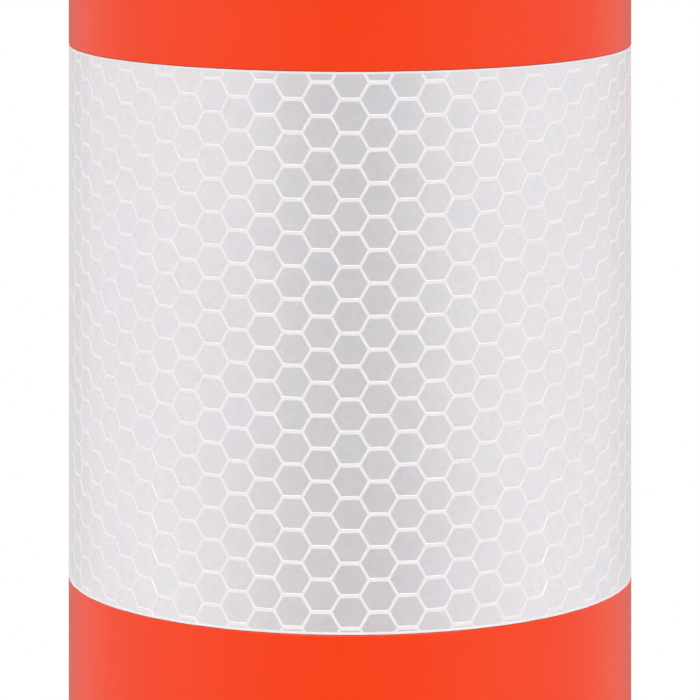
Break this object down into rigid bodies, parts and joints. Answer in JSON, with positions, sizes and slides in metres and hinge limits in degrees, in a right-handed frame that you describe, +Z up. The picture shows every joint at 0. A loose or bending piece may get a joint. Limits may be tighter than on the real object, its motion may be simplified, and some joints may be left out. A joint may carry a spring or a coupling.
{
  "type": "driveway snow marker",
  "caption": "Tall orange tubular snow marker with white honeycomb reflective bands, a domed cap and a coil-spring base that lets the post lean when struck.",
  "frame": {"origin": "centre of the base plate's underside", "axes": "+Z up along the post; +X and +Y lie on the ground, each through an anchor hole of the base"},
  "size_m": [0.24, 0.24, 0.9144],
  "materials": {
    "orange_plastic": "glossy moulded polyethylene",
    "reflective_sheeting": "white prismatic film with sealed honeycomb cells",
    "base_rubber": "matt moulded recycled rubber",
    "galvanised_steel": "hot-dip galvanised, spangled",
    "zinc_plated_steel": "bright zinc plate",
    "spring_steel": "black powder coat"
  },
  "bodies": {
    "base": {"base_plate": "base_rubber", "anchor_bush_1": "zinc_plated_steel", "anchor_bush_2": "zinc_plated_steel", "anchor_bush_3": "zinc_plated_steel", "anchor_bush_4": "zinc_plated_steel", "lower_spring_socket": "galvanised_steel", "socket_bolt_1": "zinc_plated_steel", "socket_bolt_2": "zinc_plated_steel", "socket_bolt_3": "zinc_plated_steel", "socket_bolt_4": "zinc_plated_steel", "socket_washer_1": "zinc_plated_steel", "socket_washer_2": "zinc_plated_steel", "socket_washer_3": "zinc_plated_steel", "socket_washer_4": "zinc_plated_steel", "socket_nut_1": "zinc_plated_steel", "socket_nut_2": "zinc_plated_steel", "socket_nut_3": "zinc_plated_steel", "socket_nut_4": "zinc_plated_steel", "lower_set_screw_1": "zinc_plated_steel", "lower_set_screw_2": "zinc_plated_steel", "lower_set_screw_3": "zinc_plated_steel", "spring_lower_coils": "spring_steel"},
    "spring_mid": {"spring_mid_coils": "spring_steel"},
    "post": {"spring_upper_coils": "spring_steel", "upper_spring_socket": "galvanised_steel", "upper_set_screw_1": "zinc_plated_steel", "upper_set_screw_2": "zinc_plated_steel", "upper_set_screw_3": "zinc_plated_steel", "marker_tube": "orange_plastic", "upper_reflective_band": "reflective_sheeting", "middle_reflective_band": "reflective_sheeting", "lower_reflective_band": "reflective_sheeting", "top_cap": "orange_plastic", "tube_screw_1": "zinc_plated_steel", "tube_screw_2": "zinc_plated_steel", "tube_screw_3": "zinc_plated_steel", "tube_screw_4": "zinc_plated_steel", "cap_screw_1": "zinc_plated_steel", "cap_screw_2": "zinc_plated_steel", "cap_screw_3": "zinc_plated_steel"}
  },
  "joints": [
    {"name": "lean_about_x", "type": "hinge", "parent": "base", "child": "spring_mid", "pos_m": [0, 0, 0.0927], "axis": [1, 0, 0], "range_deg": [-45, 45], "stiffness_Nm_per_rad": 36, "deforming": ["spring_lower_coils", "spring_mid_coils"]},
    {"name": "lean_about_y", "type": "hinge", "parent": "spring_mid", "child": "post", "pos_m": [0, 0, 0.1665], "axis": [0, 1, 0], "range_deg": [-45, 45], "stiffness_Nm_per_rad": 36, "deforming": ["spring_upper_coils"]}
  ]
}
